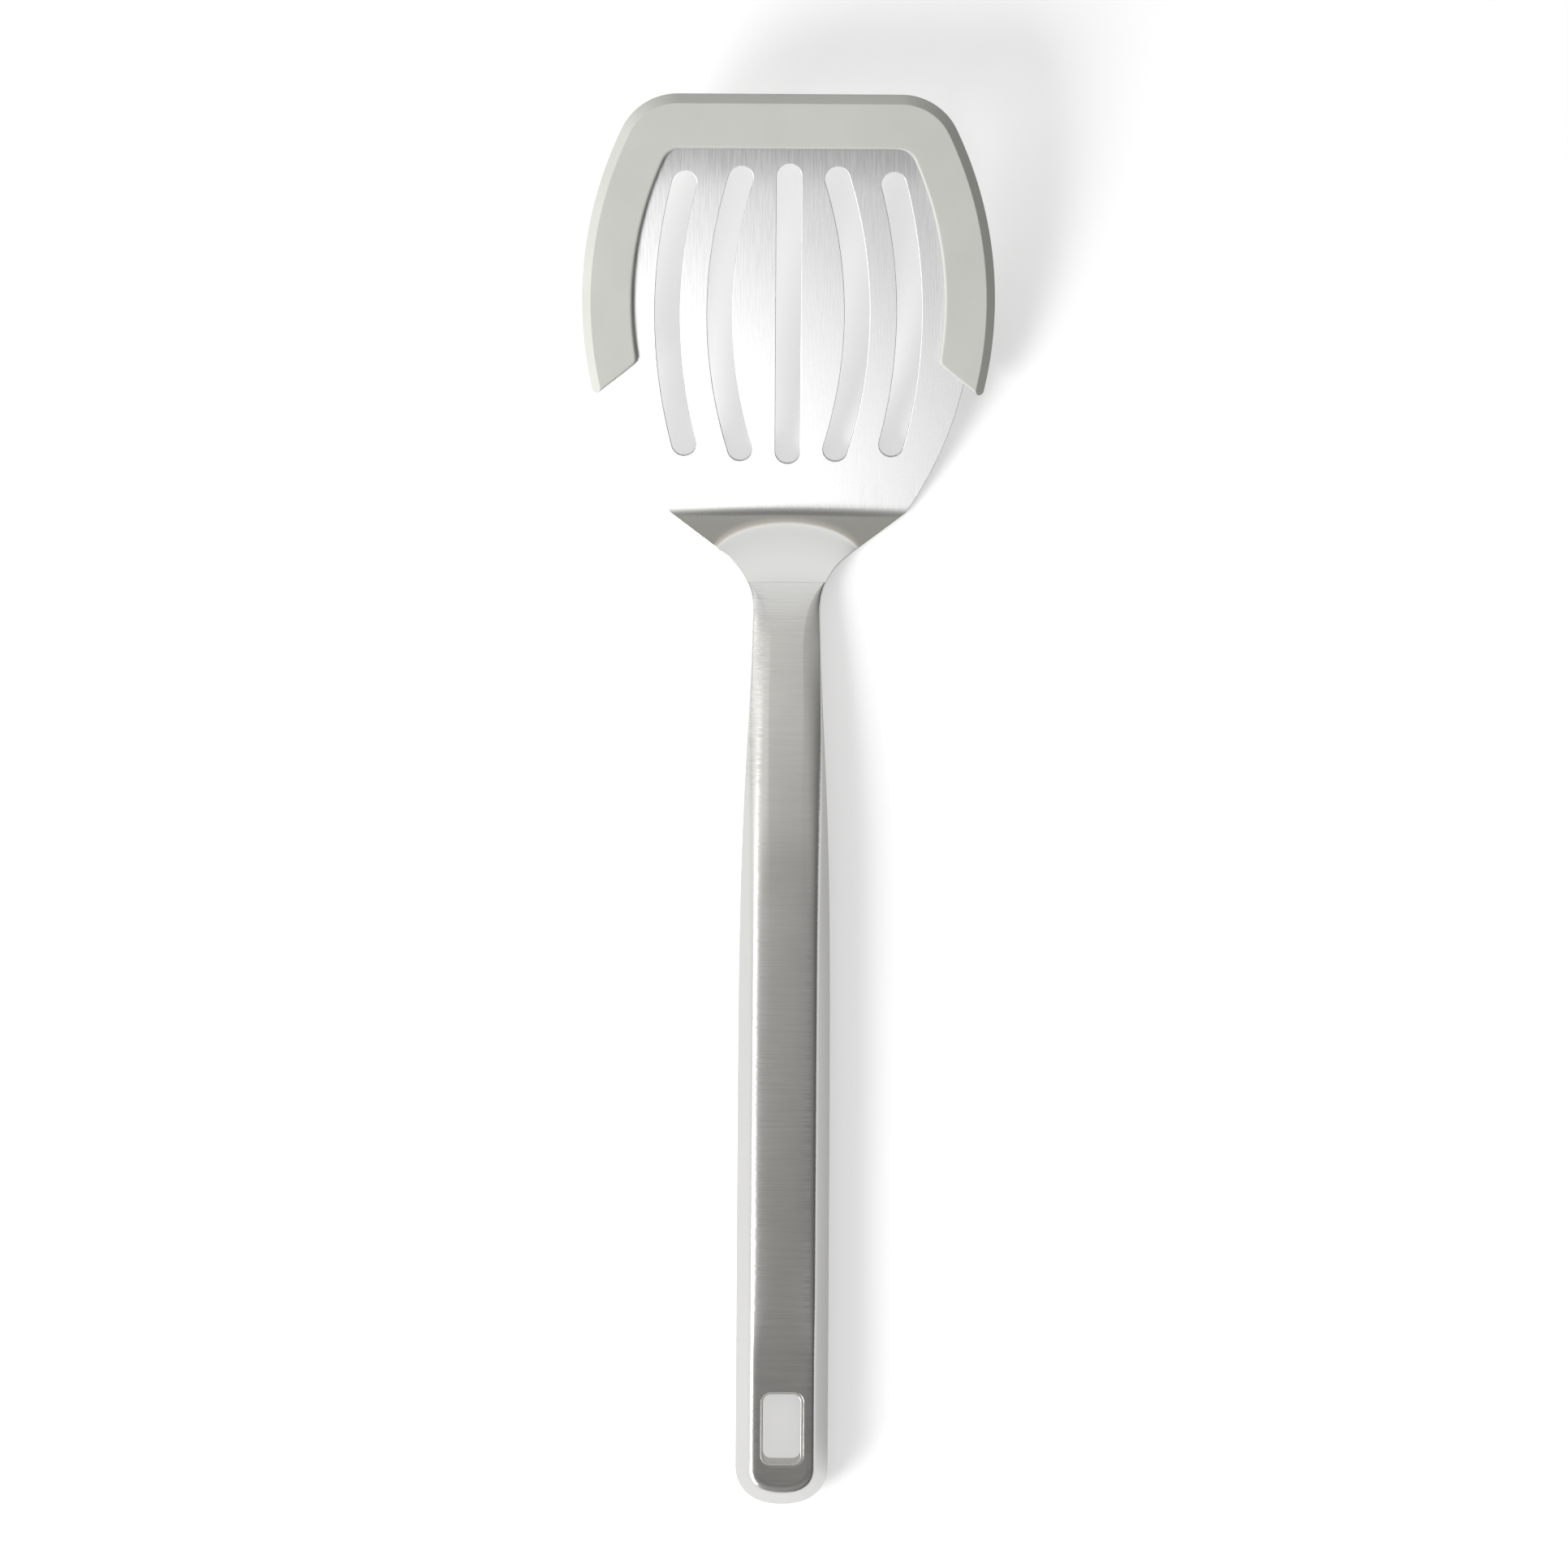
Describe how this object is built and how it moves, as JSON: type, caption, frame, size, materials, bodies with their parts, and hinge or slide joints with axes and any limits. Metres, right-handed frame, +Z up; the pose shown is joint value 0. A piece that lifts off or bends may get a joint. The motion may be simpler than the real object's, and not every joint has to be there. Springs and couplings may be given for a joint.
{
  "type": "slotted turner",
  "caption": "Slotted steel kitchen turner with a soft silicone edge round the blade and a hollow steel handle with a hang hole.",
  "frame": {"origin": "bottom centre of the bounding box, on the table that the turner rests on", "axes": "+Y along the turner towards the blade's front edge, +Z up from the table through the face of the handle, +X to the right when the handle points at the viewer"},
  "size_m": [0.0972, 0.3314, 0.0287],
  "materials": {
    "blade_steel": "brushed lengthwise, polished at the shoulder",
    "silicone": "matt",
    "handle_steel": "brushed crosswise on the face, polished on the walls",
    "liner_steel": "polished"
  },
  "bodies": {
    "root": {"blade": "blade_steel", "silicone_edge": "silicone", "handle_front_shell": "handle_steel", "handle_back_shell": "handle_steel", "hang_hole_liner": "liner_steel"}
  },
  "joints": []
}
